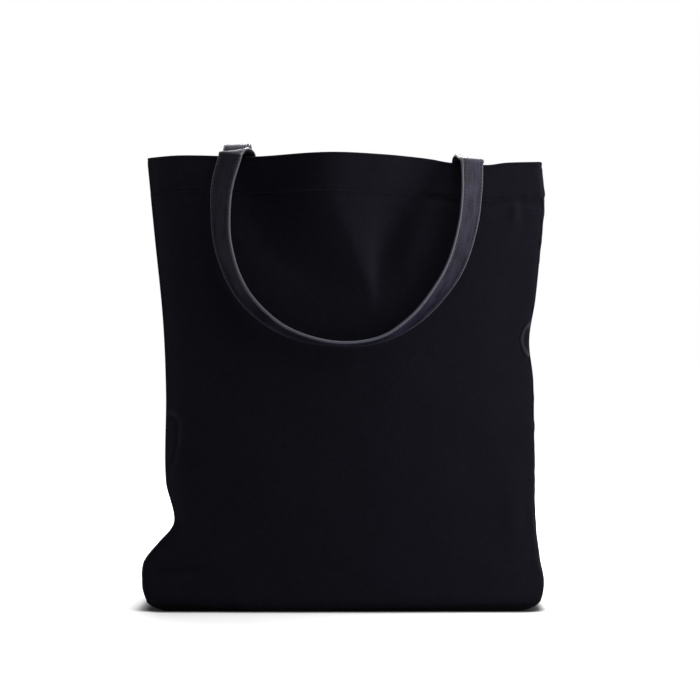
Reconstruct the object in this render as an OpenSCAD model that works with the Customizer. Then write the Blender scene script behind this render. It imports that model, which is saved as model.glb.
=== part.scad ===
// Canvas tote bag with two leather handles. +Z is up and -Y is the front.

/* [Bag body] */
// Width of the front and back panels
panel_w = 381; // [340:1:420]
// Height from the base seam to the rim of the mouth
panel_h = 430; // [390:1:470]
// Width of the side gussets and of the base
gusset_w = 102; // [84:1:120]
// Thickness of the canvas
canvas_t = 1.2; // [0.8:0.1:1.6]
// Depth of the hem turned in at the mouth
hem_d = 35; // [25:1:45]
// Width of the bound seam allowances inside the bag
binding_w = 10; // [6:1:12]
// Thickness of a bound seam allowance
binding_t = 2.4; // [1.6:0.1:3]

/* [Drape] */
// How far the ridge of the front panel's fold stands forward at the rim
rim_bulge = 36; // [0:1:44]
// How far the front and back panels belly outwards at half height
belly = 7; // [0:1:12]
// How far the left gusset folds into the bag at the mouth
left_fold = 34; // [0:1:40]
// How far the right gusset bows out at the mouth
right_bow = 9; // [0:1:14]
// How far the bottom left corner stands out as an ear
ear_out = 3.5; // [0:0.5:8]

/* [Handles] */
// Width of the leather straps
strap_w = 25.4; // [20:0.2:30]
// Thickness of one leather ply; a strap is two plies sewn back to back
ply_t = 2.1; // [1.4:0.1:2.4]
// Spacing of a handle's two sewn ends, centre to centre
handle_gap = 216; // [180:1:230]
// Drop of the front handle below the rim
front_drop = 178; // [150:1:210]
// Drop of the back handle below the rim
back_drop = 168; // [140:1:200]
// How far a strap's end reaches below the rim, inside the bag
sewn_l = 32; // [24:1:34]

/* [Hidden] */

canvas_colour = "#17171c";
facing_colour = "#1d1d23";
binding_colour = "#26262c";
leather_colour = "#2b2a2e";
lining_colour = "#232227";

half_w = panel_w / 2;
half_g = gusset_w / 2;

// Mesh steps of the walls, across, up the body and up the hem
front_cols = 28;
back_cols = 18;
gusset_cols = 8;
body_rows = 25;
hem_rows = 2;
loop_steps = 60;
bend_steps = 12;
end_steps = 4;

// Each curve below is a list of [place, value] stations, joined smoothly.
// Rim height above or below its mean, along the rim from left (0) to right (1)
front_rim = [
    [0, 0.5], [0.07, 3], [0.13, 3.2], [0.22, 2.2], [0.3, 1.5], [0.42, 2], [0.55, 2],
    [0.66, 1.2], [0.72, 0], [0.77, -2.8], [0.86, -6.2], [0.91, -4], [1, -3]
];
back_rim = [[0, -1], [0.25, 1], [0.5, -1], [0.8, -3], [1, -2]];

// Fold of the front panel: a ridge between two valleys, widest and highest at the rim,
// fading to a point below. Their places across the panel, by share of its height
left_valley = [[0.7, 0.46], [0.755, 0.36], [0.816, 0.29], [0.925, 0.25], [1, 0.25]];
ridge = [[0.7, 0.58], [0.755, 0.53], [0.816, 0.495], [0.925, 0.42], [1, 0.44]];
right_valley = [[0.7, 0.62], [0.755, 0.63], [0.816, 0.65], [0.925, 0.725], [1, 0.79]];

// Share of rim_bulge by which the ridge stands forward, by share of the height
ridge_rise = [[0.64, 0], [0.7, 0.06], [0.755, 0.23], [0.816, 0.43], [0.925, 0.8], [1, 1]];
valley_foot = 0.66;
left_depth = 1.5;
right_depth = 5;
valley_run = 0.075;
valley_growth = 0.15;

// The ridge's right flank: its shoulder's place between ridge and valley, and its share
// of the ridge's height
flank = [0.45, 0.62];

// How full the belly is across and how low it hangs, how far the front leans back at the
// rim, how much of the front's side outline the back has, and how much narrower it is,
// and how sharply the left gusset is creased
swell_fullness = 0.8;
swell_sag = 0.7;
front_lean = 2.5;
back_share = 0.8;
back_narrow = 3;
crease = 1.2;

back_bulge = 9;
back_plan = [[0, 0], [0.2, 0.2], [0.5, 1], [0.8, 0.25], [1, 0]];

// Outward shift of each side edge from the flat half width, by height
left_edge = [
    [0, -4], [14, ear_out - 1.5], [26, ear_out], [44, 0.5], [60, -7], [76, -24], [92, -27.5],
    [120, -20.5], [160, -19], [200, -19.5], [290, -15.5], [385, -5.5], [430, -2.5]
];
right_edge = [
    [0, -8], [14, -0.5], [26, 2], [45, -2], [90, -6], [160, -6], [220, -9],
    [266, -11], [290, -7], [345, -4], [390, -1], [430, -3.5]
];

// Share of left_fold by which the left gusset goes in, by share of the height
fold_rise = [[0, 0], [0.07, -0.1], [0.14, 0.1], [0.22, 0.55], [0.5, 0.8], [1, 1]];
bow_rise = [[0, 0.1], [0.1, 0.5], [0.3, 0.2], [0.6, -0.3], [0.75, 0.4], [1, 1]];

// Height of the base seam above the floor, left to right, and its mean
seam_rise = [[0, 8], [0.12, 6.5], [0.24, 3.5], [0.34, 1.5], [0.5, 3], [0.78, 6], [1, 8]];
seam_mean = 6;
end_roll = 16;
side_roll = 7;

// Clearances of a strap: from the panel it hangs against, from the facing it is sewn to,
// and between its bend and the loop that swings
strap_gap = 1.4;
sewn_gap = 0.5;
joint_gap = 0.4;

// A loop reaches the panel below the rim within settle_h
settle_h = 30;

// A sewn end leaves the facing at this share of its length
leaves_at = 0.4;

// Where each strap crosses the rim: x of its sewn end, x where it comes over, its distance
// from the rim inside, the rise of its loose bend, the share of its width by which its
// inner edge stands higher there, and how far its face is turned where the loop starts
spread = handle_gap / 216;
front_left = [-98 * spread, -108.5 * spread, 8, 4.4, 0.17, 28];
front_right = [118 * spread, 123.5 * spread, 8, 4.9, 0.21, 33];
back_left = [-110 * spread, -106 * spread, 9, 22.3, 0.05, 20];
back_right = [106 * spread, 111 * spread, 8, 8, 0, 20];

// Route of each handle's loop, left to right: [x, drop below the rim, turn].
// turn is how far the strap's face has turned away from the front or back.
front_loop = [
    [-115.6, 26, 31], [-117.6, 52, 40], [-115.5, 85, 47], [-104, 120, 55],
    [-84, 147, 63], [-52, 168.5, 74], [-8, 178, 83], [34, 173, 80],
    [66, 154, 68], [90, 128, 56], [108, 98, 47], [119, 61, 42], [123, 28, 38]
];
back_loop = [
    [-104, 24, 30], [-102, 56, 42], [-98, 90, 50], [-86, 122, 60],
    [-60, 150, 72], [-24, 166, 82], [12, 167, 82], [50, 155, 72],
    [84, 127, 58], [104, 92, 47], [114, 52, 38], [115, 20, 24]
];
front_handle_size = front_drop / 178;
back_handle_size = back_drop / 168;

function smooth(q) = let(s = max(0, min(1, q))) s * s * (3 - 2 * s);
function mix(a, b, q) = a + (b - a) * q;
function unit(p) = p / norm(p);

// Smooth curve through a list of [place, value] stations
function span(list, s, i = 0) =
    i >= len(list) - 2 || s < list[i + 1][0] ? i : span(list, s, i + 1);
function slope(list, i) =
    let(a = max(0, i - 1), b = min(len(list) - 1, i + 1))
    (list[b][1] - list[a][1]) / (list[b][0] - list[a][0]);
function curve(list, s) =
    let(
        i = span(list, s),
        w = list[i + 1][0] - list[i][0],
        q = max(0, min(1, (s - list[i][0]) / w)),
        a = list[i][1],
        b = list[i + 1][1],
        ma = slope(list, i) * w,
        mb = slope(list, i + 1) * w
    )
    a + q * (ma + q * (3 * (b - a) - 2 * ma - mb + q * (2 * (a - b) + ma + mb)));

// Walls. u runs from left to right and v from the base seam to the rim.
function height(u, v, rim) =
    let(low = curve(seam_rise, u) + canvas_t)
    mix(low, panel_h + seam_mean + curve(rim, u), v);
function front_x(u, z) = mix(-half_w - curve(left_edge, z), half_w + curve(right_edge, z), u);

function front_fold(u, v) =
    let(
        rise = rim_bulge * curve(ridge_rise, v),
        deep = smooth((v - valley_foot) / valley_growth),
        a = curve(left_valley, v),
        b = curve(ridge, v),
        c = curve(right_valley, v)
    )
    curve([
        [0, 0], [a - valley_run, 0], [a, -left_depth * deep], [b, rise],
        [mix(b, c, flank[0]), flank[1] * rise], [c, -right_depth * deep], [c + valley_run, 0], [1, 0]
    ], u);
function swell(u, v) = belly * pow(max(0, sin(180 * u)), swell_fullness) * sin(180 * pow(v, swell_sag));
function front_y(u, v) = mix(-half_g, front_lean - half_g, v) - front_fold(u, v) - swell(u, v);
function front(u, v) =
    let(z = height(u, v, front_rim))
    [front_x(u, z), front_y(u, v), z];

// A gusset keeps its width, so where it folds or bows it draws the back forwards.
function fold(v) = left_fold * curve(fold_rise, v);
function bow(v) = right_bow * curve(bow_rise, v);
function reach(depth) = 2 * sqrt(half_g * half_g - depth * depth);
function back_y(u, v) =
    mix(front_y(0, v) + reach(fold(v)), front_y(1, v) + reach(bow(v)), u)
    + swell(u, v) + back_bulge * curve(back_plan, u) * smooth(v);
function back_x(u, z) =
    mix(
        back_narrow - half_w - back_share * curve(left_edge, z),
        half_w + back_share * curve(right_edge, z) - back_narrow,
        u
    );
function back(u, v) =
    let(z = height(u, v, back_rim))
    [back_x(u, z), back_y(u, v), z];

// Rows of the walls: the body rows end at the hem's lower edge
hem_v = 1 - hem_d / panel_h;
levels = concat(
    [for (i = [0 : body_rows]) hem_v * i / body_rows],
    [for (i = [1 : hem_rows]) hem_v + (1 - hem_v) * i / hem_rows]
);

inward_y = [0, canvas_t, 0];
inward_x = [canvas_t, 0, 0];
front_grid = [for (v = levels) [for (c = [0 : front_cols]) front(c / front_cols, v)]];
back_grid = [for (v = levels) [for (c = [0 : back_cols]) back(1 - c / back_cols, v)]];

// A gusset's columns: the first and last are as wide as a seam allowance
gusset_places = concat(
    [0, binding_w / gusset_w],
    [for (c = [2 : gusset_cols - 2]) c / gusset_cols],
    [1 - binding_w / gusset_w, 1]
);
function left_point(r, f) =
    mix(last(back_grid[r]) - inward_y, front_grid[r][0] + inward_y, f)
    + [fold(levels[r]) * pow(sin(180 * f), crease), 0, 0];
function right_point(r, f) =
    mix(last(front_grid[r]) + inward_y, back_grid[r][0] - inward_y, f)
    + [bow(levels[r]) * sin(180 * f), 0, 0];
left_grid = [for (r = [0 : len(levels) - 1]) [for (f = gusset_places) left_point(r, f)]];
right_grid = [for (r = [0 : len(levels) - 1]) [for (f = gusset_places) right_point(r, f)]];

function last(list) = list[len(list) - 1];
function moved(grid, by) = [for (row = grid) [for (p = row) p + by]];
function rows_from(grid, a, b) = [for (r = [a : b]) grid[r]];
function cols_from(grid, a, b) = [for (row = grid) [for (c = [a : b]) row[c]]];

// The same grid with its first and last columns drawn in by a distance
function drawn_in(grid, d) = [
    for (row = grid)
        let(n = len(row) - 1)
        [for (c = [0 : n])
            c == 0 ? row[0] + d * unit(row[1] - row[0])
            : c == n ? row[n] + d * unit(row[n - 1] - row[n])
            : row[c]]
];

// A closed sheet between two grids; columns run left to right seen from outside
module sheet(outer, inner) {
    rows = len(outer);
    cols = len(outer[0]);
    count = rows * cols;
    ring = concat(
        [for (c = [0 : cols - 1]) c],
        [for (r = [1 : rows - 1]) r * cols + cols - 1],
        [for (c = [1 : cols - 1]) count - 1 - c],
        [for (r = [2 : rows - 1]) (rows - r) * cols]
    );
    faces = concat(
        [for (r = [0 : rows - 2], c = [0 : cols - 2]) let(a = r * cols + c) [a, a + cols + 1, a + 1]],
        [for (r = [0 : rows - 2], c = [0 : cols - 2]) let(a = r * cols + c) [a, a + cols, a + cols + 1]],
        [for (r = [0 : rows - 2], c = [0 : cols - 2])
            let(a = count + r * cols + c) [a, a + 1, a + cols + 1]],
        [for (r = [0 : rows - 2], c = [0 : cols - 2])
            let(a = count + r * cols + c) [a, a + cols + 1, a + cols]],
        [for (i = [0 : len(ring) - 1])
            let(a = ring[i], b = ring[(i + 1) % len(ring)]) [a, b, b + count]],
        [for (i = [0 : len(ring) - 1])
            let(a = ring[i], b = ring[(i + 1) % len(ring)]) [a, b + count, a + count]]
    );
    polyhedron(points = concat([for (row = outer) each row], [for (row = inner) each row]), faces = faces);
}

module front_panel() {
    color(canvas_colour) sheet(front_grid, moved(front_grid, inward_y));
}

module back_panel() {
    color(canvas_colour) sheet(back_grid, moved(back_grid, -inward_y));
}

module left_gusset() {
    color(canvas_colour) sheet(left_grid, moved(left_grid, inward_x));
}

module right_gusset() {
    color(canvas_colour) sheet(right_grid, moved(right_grid, -inward_x));
}

// The base is a shallow tray: its edges roll up from the floor to the seam.
rolled = [0, 4, 14];
function base_places(size, n) = concat(
    rolled,
    [for (i = [1 : n - 1]) i * size / n],
    [for (i = [2 : -1 : 0]) size - rolled[i]]
) / size;
base_cols = base_places(panel_w, 10);
base_rows = base_places(gusset_w, 4);
function roll(u, w) =
    let(d = min(min(u, 1 - u) * panel_w / end_roll, min(w, 1 - w) * gusset_w / side_roll))
    pow(max(0, 1 - d), 2);
function base_point(u, w) =
    let(a = front(u, 0), b = back(u, 0))
    [mix(a[0], b[0], w), mix(a[1], b[1], w), mix(a[2] - canvas_t, b[2] - canvas_t, w) * roll(u, w)];
base_grid = [for (w = base_rows) [for (u = base_cols) base_point(u, w)]];
lift = [0, 0, canvas_t];

module base_panel() {
    color(canvas_colour) sheet(moved(base_grid, lift), base_grid);
}

// Hem facings: the canvas turned in at the mouth, against each wall's inside, and drawn
// in at the corners so that they clear each other
panel_inset = 2.2 * canvas_t;
gusset_inset = 2.4 * canvas_t;
hem_row = body_rows;
function hem(grid, inset) = drawn_in(rows_from(grid, hem_row, hem_row + hem_rows), inset);

module front_hem_facing() {
    band = hem(front_grid, panel_inset);
    color(facing_colour) sheet(moved(band, inward_y), moved(band, 2 * inward_y));
}

module back_hem_facing() {
    band = hem(back_grid, panel_inset);
    color(facing_colour) sheet(moved(band, -inward_y), moved(band, -2 * inward_y));
}

module left_hem_facing() {
    band = hem(left_grid, gusset_inset);
    color(facing_colour) sheet(moved(band, inward_x), moved(band, 2 * inward_x));
}

module right_hem_facing() {
    band = hem(right_grid, gusset_inset);
    color(facing_colour) sheet(moved(band, -inward_x), moved(band, -2 * inward_x));
}

// Seam allowances, bound together and pressed against the gussets inside the bag
module seam_binding(grid, a, inward) {
    strip = cols_from(rows_from(grid, 1, hem_row - 1), a, a + 1);
    step = inward * binding_t / canvas_t;
    color(binding_colour) sheet(moved(strip, inward), moved(strip, inward + step));
}

module front_left_seam_binding() {
    seam_binding(left_grid, len(gusset_places) - 2, inward_x);
}

module back_left_seam_binding() {
    seam_binding(left_grid, 0, inward_x);
}

module front_right_seam_binding() {
    seam_binding(right_grid, 0, -inward_x);
}

module back_right_seam_binding() {
    seam_binding(right_grid, len(gusset_places) - 2, -inward_x);
}

module base_seam_bindings() {
    long = cols_from(base_grid, 2, len(base_cols) - 3);
    step = lift * binding_t / canvas_t;
    for (r = [1, len(base_rows) - 3]) {
        strip = rows_from(long, r, r + 1);
        color(binding_colour) sheet(moved(strip, lift + step), moved(strip, lift));
    }
}

// Handles. A ring is [centre, direction across the strap]; side is 1 in front, -1 behind.
// Rings are worked out as for the front handle, then turned behind for the back one.
half_s = strap_w / 2;
function wall_u(x) = (x + half_w) / panel_w;
function wall_v(z, u) = min(1, z / (panel_h + seam_mean + curve(front_rim, u)));
function wall_y(x, z, side) =
    let(u = wall_u(x), v = wall_v(z, u))
    side > 0 ? front_y(u, v) : -back_y(u, v);
function rim_point(x, side) =
    let(u = wall_u(x), p = side > 0 ? front(u, 1) : back(u, 1))
    [x, side * p[1] + canvas_t, p[2]];

// The loop's route is a list of [x, height, turn]; the strap's centre hangs clear of the
// wall by its own half width, as far as its face is turned
function loop_route(left, right, loop, size, turns) = concat(
    [[left[0], left[2], turns[0]]],
    [for (p = loop)
        let(x = p[0] * spread, rim_z = mix(left[2], right[2], (x - left[0]) / (right[0] - left[0])))
        [x, rim_z - p[1] * size, p[2]]],
    [[right[0], right[2], turns[1]]]
);
function loop_at(route, k) =
    curve([for (i = [0 : len(route) - 1]) [i, route[i]]], k * (len(route) - 1));
function clear_y(x, z, turn, side) =
    let(edge_x = x + (x < 0 ? -1 : 1) * half_s * cos(turn))
    min(wall_y(edge_x, z, side), wall_y(x, z, side)) - strap_gap - half_s * sin(turn) - ply_t;
function loop_centre(p, start, side) =
    let(free = clear_y(p[0], p[1], p[2], side))
    [p[0], mix(start[1], free, smooth((start[2] - p[1]) / settle_h)), p[1]];
function across(tangent, turn) =
    let(
        inward = unit([-tangent[2], 0, tangent[0]]),
        w = inward * cos(turn) + [0, -1, 0] * sin(turn)
    )
    unit(w - tangent * (w * tangent));
function loop_rings(left, right, loop, size, turns, side) =
    let(
        route = loop_route(left, right, loop, size, turns),
        n = loop_steps,
        p = [for (i = [0 : n]) loop_at(route, i / n)],
        c = [for (q = p) loop_centre(q, q[0] < 0 ? left : right, side)]
    )
    [for (i = [0 : n])
        [c[i], across(unit(c[min(n, i + 1)] - c[max(0, i - 1)]), p[i][2])]];

// The bend runs from the sewn end, over the rim, to the start of the loop. It is a half
// circle, squashed where its rise is under its half span, or on straight legs where over.
function bend_point(span_r, rise, k) =
    let(
        leg = max(0, rise - span_r),
        arc = PI * span_r,
        s = k * (arc + 2 * leg),
        a = 180 * max(0, min(1, (s - leg) / arc))
    )
    [span_r * cos(a), min(leg, s, arc + 2 * leg - s) + min(span_r, rise) * sin(a)];
function bend_rings(inside, outside, rise, tilt, first_w, last_w) = [
    for (i = [0 : bend_steps])
        let(
            k = i / bend_steps,
            middle = (inside + outside) / 2,
            p = bend_point((inside[1] - outside[1]) / 2, rise, k),
            turned = mix(first_w, last_w, smooth((k - 0.5) / 0.5))
        )
        [
            [mix(inside[0], outside[0], smooth(k)), middle[1] + p[0], middle[2] + p[1]],
            unit(turned + [0, 0, tilt * sin(180 * k)])
        ]
];

// A sewn end lies flat against the facing, then leaves it for the bend
function sewn_w(x, z, side) =
    unit([2 * half_s, wall_y(x + half_s, z, side) - wall_y(x - half_s, z, side), 0]);
function sewn_y(x, z, side) =
    let(ends = (wall_y(x - half_s, z, side) + wall_y(x + half_s, z, side)) / 2)
    max(ends, wall_y(x, z, side)) + 2 * canvas_t + ply_t + sewn_gap;
function end_rings(inside, way, side) = [
    for (i = [0 : end_steps - 1])
        let(k = i / end_steps, x = inside[0], z = inside[2] - sewn_l * (1 - k))
        [
            [x, mix(sewn_y(x, z, side), inside[1], smooth((k - leaves_at) / (1 - leaves_at))), z],
            way * sewn_w(x, z, side)
        ]
];
function reversed(list) = [for (i = [len(list) - 1 : -1 : 0]) list[i]];

// Adds to each ring the direction out of the strap's face
function framed(rings) = [
    for (i = [0 : len(rings) - 1])
        let(
            t = unit(rings[min(len(rings) - 1, i + 1)][0] - rings[max(0, i - 1)][0]),
            w = unit(rings[i][1] - t * (rings[i][1] * t))
        )
        [rings[i][0], w, cross(t, w)]
];

// Every ring of one handle: left end, left bend, loop, right bend, right end. Each bend
// runs between a point inside the bag and a point outside, both at the height of the rim.
function inside_point(at, side) =
    let(rim = rim_point((at[0] + at[1]) / 2, side))
    [at[0], rim[1] + at[2], rim[2]];
function outside_point(at, side) =
    let(rim = rim_point((at[0] + at[1]) / 2, side))
    [at[1], min(rim[1] - at[2], clear_y(at[1], rim[2], at[5], side)), rim[2]];
function handle(left, right, loop, size, side) =
    let(
        left_in = inside_point(left, side),
        left_out = outside_point(left, side),
        right_in = inside_point(right, side),
        right_out = outside_point(right, side),
        rings = loop_rings(left_out, right_out, loop, size, [left[5], right[5]], side),
        left_w = sewn_w(left_in[0], left_in[2], side),
        right_w = -sewn_w(right_in[0], right_in[2], side)
    )
    framed(concat(
        end_rings(left_in, 1, side),
        bend_rings(left_in, left_out, left[3], left[4], left_w, rings[0][1]),
        rows_from(rings, 1, loop_steps - 1),
        reversed(bend_rings(right_in, right_out, right[3], right[4], right_w, last(rings)[1])),
        reversed(end_rings(right_in, -1, side))
    ));
front_handle = handle(front_left, front_right, front_loop, front_handle_size, 1);
back_handle = handle(back_left, back_right, back_loop, back_handle_size, -1);

// The parts of a handle are stretches of its rings. The bends reach a little below the
// rim on both sides, and stop joint_gap short of the loop, which swings.
left_end_to = end_steps - 1;
loop_from = end_steps + bend_steps + 1;
loop_to = loop_from + loop_steps - 2;
right_end_from = loop_to + bend_steps + 2;
rings_in_all = right_end_from + end_steps;
function set_along(ring, d) = [ring[0] + d * cross(ring[1], ring[2]), ring[1], ring[2]];
function left_end(rings) = rows_from(rings, 0, left_end_to);
function left_bend(rings) =
    concat(rows_from(rings, left_end_to, loop_from - 1), [set_along(rings[loop_from], -joint_gap)]);
function loop_part(rings) = rows_from(rings, loop_from, loop_to);
function right_bend(rings) =
    concat([set_along(rings[loop_to], joint_gap)], rows_from(rings, loop_to + 1, right_end_from));
function right_end(rings) = rows_from(rings, right_end_from, rings_in_all - 1);

// A strap, or one ply of it, swept along rings between two distances from the middle.
// Its outer corners are eased, as burnished and painted edges are; where two plies
// meet, in the middle, they stay square.
edge_ease = 0.5;
module strap(rings, low, high, side) {
    n = len(rings) - 1;
    low_ease = low < 0 ? edge_ease : 0;
    high_ease = high > 0 ? edge_ease : 0;
    upper = [
        [-half_s, high - high_ease],
        if (high_ease > 0) each [[edge_ease - half_s, high], [half_s - edge_ease, high]],
        [half_s, high - high_ease]
    ];
    lower = [
        [half_s, low + low_ease],
        if (low_ease > 0) each [[half_s - edge_ease, low], [edge_ease - half_s, low]],
        [-half_s, low + low_ease]
    ];
    section = concat(upper, lower);
    m = len(section);
    points = [
        for (r = rings, s = section)
            let(p = r[0] + r[1] * s[0] + r[2] * s[1])
            [p[0], side * p[1], p[2]]
    ];
    // Two plies meet on the same triangles, so the lower side is cut the other way
    walls = [
        for (i = [0 : n - 1], s = [0 : m - 1])
            let(a = i * m + s, b = i * m + (s + 1) % m)
            each s < len(upper) ? [[a, b, b + m], [a, b + m, a + m]] : [[a, b, a + m], [b, b + m, a + m]]
    ];
    caps = [[for (s = [m - 1 : -1 : 0]) s], [for (s = [0 : m - 1]) n * m + s]];
    faces = concat(walls, caps);
    polyhedron(points, side > 0 ? faces : [for (f = faces) reversed(f)]);
}

module face_ply(rings, side) {
    color(leather_colour) strap(rings, 0, ply_t, side);
}

module lining_ply(rings, side) {
    color(lining_colour) strap(rings, -ply_t, 0, side);
}

module both_plies(rings, side) {
    color(leather_colour) strap(rings, -ply_t, ply_t, side);
}

module front_handle_left_end() {
    both_plies(left_end(front_handle), 1);
}

module front_handle_right_end() {
    both_plies(right_end(front_handle), 1);
}

module back_handle_left_end() {
    both_plies(left_end(back_handle), -1);
}

module back_handle_right_end() {
    both_plies(right_end(back_handle), -1);
}

module front_handle_left_bend() {
    both_plies(left_bend(front_handle), 1);
}

module front_handle_right_bend() {
    both_plies(right_bend(front_handle), 1);
}

module back_handle_left_bend() {
    both_plies(left_bend(back_handle), -1);
}

module back_handle_right_bend() {
    both_plies(right_bend(back_handle), -1);
}

module front_handle_face() {
    face_ply(loop_part(front_handle), 1);
}

module front_handle_lining() {
    lining_ply(loop_part(front_handle), 1);
}

module back_handle_face() {
    face_ply(loop_part(back_handle), -1);
}

module back_handle_lining() {
    lining_ply(loop_part(back_handle), -1);
}

front_panel();
back_panel();
left_gusset();
right_gusset();
base_panel();
front_hem_facing();
back_hem_facing();
left_hem_facing();
right_hem_facing();
front_left_seam_binding();
front_right_seam_binding();
back_left_seam_binding();
back_right_seam_binding();
base_seam_bindings();
front_handle_left_end();
front_handle_right_end();
back_handle_left_end();
back_handle_right_end();
front_handle_left_bend();
front_handle_right_bend();
back_handle_left_bend();
back_handle_right_bend();
front_handle_face();
front_handle_lining();
back_handle_face();
back_handle_lining();
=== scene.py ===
"""Canvas tote bag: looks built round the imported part.

The bag's lengths are in millimetres until a mesh is made, in the part's own frame: +Z is up and
-Y is the front. The camera, lamps and floor are in metres. The walls and handles are drawn as the
part's own solids are, with some values refined here, such as the side edges and the flared foot.
"""
import math
from collections import namedtuple
from functools import partial

import bmesh
import bpy
import numpy as np
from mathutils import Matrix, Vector


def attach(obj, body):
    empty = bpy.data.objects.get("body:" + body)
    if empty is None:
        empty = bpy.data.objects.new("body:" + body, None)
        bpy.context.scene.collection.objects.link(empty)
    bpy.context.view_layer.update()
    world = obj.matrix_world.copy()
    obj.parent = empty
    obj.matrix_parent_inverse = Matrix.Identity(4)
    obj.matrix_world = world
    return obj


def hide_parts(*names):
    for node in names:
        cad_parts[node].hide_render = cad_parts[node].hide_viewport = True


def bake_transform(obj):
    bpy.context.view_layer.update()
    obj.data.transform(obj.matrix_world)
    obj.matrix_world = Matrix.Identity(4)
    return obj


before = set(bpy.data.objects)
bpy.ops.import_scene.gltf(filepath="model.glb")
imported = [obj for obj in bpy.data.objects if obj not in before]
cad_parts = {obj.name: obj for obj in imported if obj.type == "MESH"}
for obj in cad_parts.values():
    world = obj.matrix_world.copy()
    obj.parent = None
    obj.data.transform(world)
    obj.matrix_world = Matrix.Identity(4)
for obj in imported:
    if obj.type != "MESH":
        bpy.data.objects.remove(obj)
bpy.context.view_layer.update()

MM = 0.001

# ---------------------------------------------------------------- node trees

WHITE = (1, 1, 1, 1)


class Nodes:
    """A small helper that builds one node tree."""

    def __init__(self, tree):
        self.nodes, self.links = tree.nodes, tree.links

    def put(self, node, key, value):
        """Links a socket to an input, or sets the input to a plain value."""
        if isinstance(value, bpy.types.NodeSocket):
            self.links.new(value, node.inputs[key])
        else:
            node.inputs[key].default_value = value

    def node(self, kind, inputs=None, **settings):
        made = self.nodes.new("ShaderNode" + kind)
        for key, value in settings.items():
            setattr(made, key, value)
        for key, value in (inputs or {}).items():
            self.put(made, key, value)
        return made

    def math(self, operation, *terms):
        return self.node("Math", dict(enumerate(terms)), operation=operation).outputs[0]

    def plus(self, total, *weighted):
        """A socket plus others, each given with its weight."""
        for socket, weight in weighted:
            total = self.math("ADD", total, self.math("MULTIPLY", socket, weight))
        return total

    def ramp(self, source, low, high, dark, light):
        inputs = {"Value": source, "From Min": low, "From Max": high, "To Min": dark, "To Max": light}
        return self.node("MapRange", inputs).outputs[0]


# ---------------------------------------------------------------- camera, light, floor


def make_camera(place):
    """A level camera that looks along +Y."""
    camera = bpy.data.objects.new("camera", bpy.data.cameras.new("camera"))
    camera.data.lens = 80
    camera.data.sensor_width = 36
    camera.location = place
    camera.rotation_euler = (math.radians(90), 0, 0)
    camera.data.clip_end = 60
    bpy.context.scene.collection.objects.link(camera)
    bpy.context.scene.camera = camera


def area_light(name, place, target, size, power):
    light = bpy.data.lights.new(name, "AREA")
    light.shape = "RECTANGLE"
    light.size, light.size_y = size
    light.energy = power
    lamp = bpy.data.objects.new(name, light)
    lamp.location = place
    lamp.rotation_euler = (Vector(target) - Vector(place)).to_track_quat("-Z", "Y").to_euler()
    lamp.visible_camera = False
    bpy.context.scene.collection.objects.link(lamp)
    return lamp


def seen_directly(kit):
    """1 for camera, glossy and transmission rays, which see the background as white."""
    path = kit.node("LightPath").outputs
    either = kit.math("MAXIMUM", path["Is Camera Ray"], path["Is Glossy Ray"])
    return kit.math("MAXIMUM", either, path["Is Transmission Ray"])


def make_world(fill, glow, towards, spread):
    """White to look at; it lights with an even fill and a broad soft glow from one side."""
    world = bpy.data.worlds.new("white_studio")
    world.use_nodes = True
    world.node_tree.nodes.clear()
    kit = Nodes(world.node_tree)
    way = kit.node("TexCoord").outputs["Generated"]
    aim = kit.node("VectorMath", {0: way, 1: Vector(towards).normalized()}, operation="DOT_PRODUCT")
    value = aim.outputs["Value"]
    for operation, number in (("MAXIMUM", 0.0), ("POWER", spread), ("MULTIPLY", glow), ("ADD", fill)):
        value = kit.math(operation, value, number)
    lighting = kit.node("Background", {"Color": WHITE, "Strength": value})
    white = kit.node("Background", {"Color": WHITE})
    both = kit.node("MixShader", {0: seen_directly(kit), 1: lighting.outputs[0], 2: white.outputs[0]})
    kit.node("OutputWorld", {"Surface": both.outputs[0]})
    bpy.context.scene.world = world


def make_floor(lit_colour, seen_colour, near_glow, far_glow):
    """A pale floor with a painted contact shadow where the bag stands, that fades to white further off.

    It has one grey for the light that it throws back and a paler one where it is seen directly.
    """
    half_size = 20
    contact_reach, contact_dark = 0.02, 0.06
    glow_start, glow_end = 0.35, 1.1  # distances from the bag's middle
    corners = [(x * half_size, y * half_size, 0) for x, y in ((-1, -1), (1, -1), (1, 1), (-1, 1))]
    mesh = bpy.data.meshes.new("floor")
    mesh.from_pydata(corners, [], [(0, 1, 2, 3)])
    floor = bpy.data.objects.new("floor", mesh)
    bpy.context.scene.collection.objects.link(floor)
    material = bpy.data.materials.new("floor_white")
    material.use_nodes = True
    material.node_tree.nodes.clear()
    kit = Nodes(material.node_tree)
    seen = seen_directly(kit)
    # Painted contact shadow: colour and glow darkened by ambient occlusion near the bag
    contact = kit.node("AmbientOcclusion", {"Distance": contact_reach}).outputs["AO"]
    painted_contact_shadow = kit.ramp(contact, 0.42, 0.82, contact_dark, 1)
    tone = kit.math("MULTIPLY", kit.ramp(seen, 0, 1, lit_colour, seen_colour), painted_contact_shadow)
    diffuse = kit.node("BsdfDiffuse", {"Color": tone})
    place = kit.node("NewGeometry").outputs["Position"]
    away = kit.node("VectorMath", {0: place}, operation="LENGTH").outputs["Value"]
    glow = kit.ramp(away, glow_start, glow_end, near_glow, far_glow)
    strength = kit.math("MULTIPLY", seen, kit.math("MULTIPLY", glow, painted_contact_shadow))
    emission = kit.node("Emission", {"Color": WHITE, "Strength": strength})
    both = kit.node("AddShader", {0: diffuse.outputs[0], 1: emission.outputs[0]})
    kit.node("OutputMaterial", {"Surface": both.outputs[0]})
    mesh.materials.append(material)


make_camera(place=(0.0063, -1.551, 0.251))
bpy.context.scene.view_settings.view_transform = "Standard"
make_world(fill=0.01, glow=0.08, towards=(0.6, -0.6, 0.45), spread=2)
make_floor(lit_colour=0.6, seen_colour=1.0, near_glow=0.2, far_glow=1.0)
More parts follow.
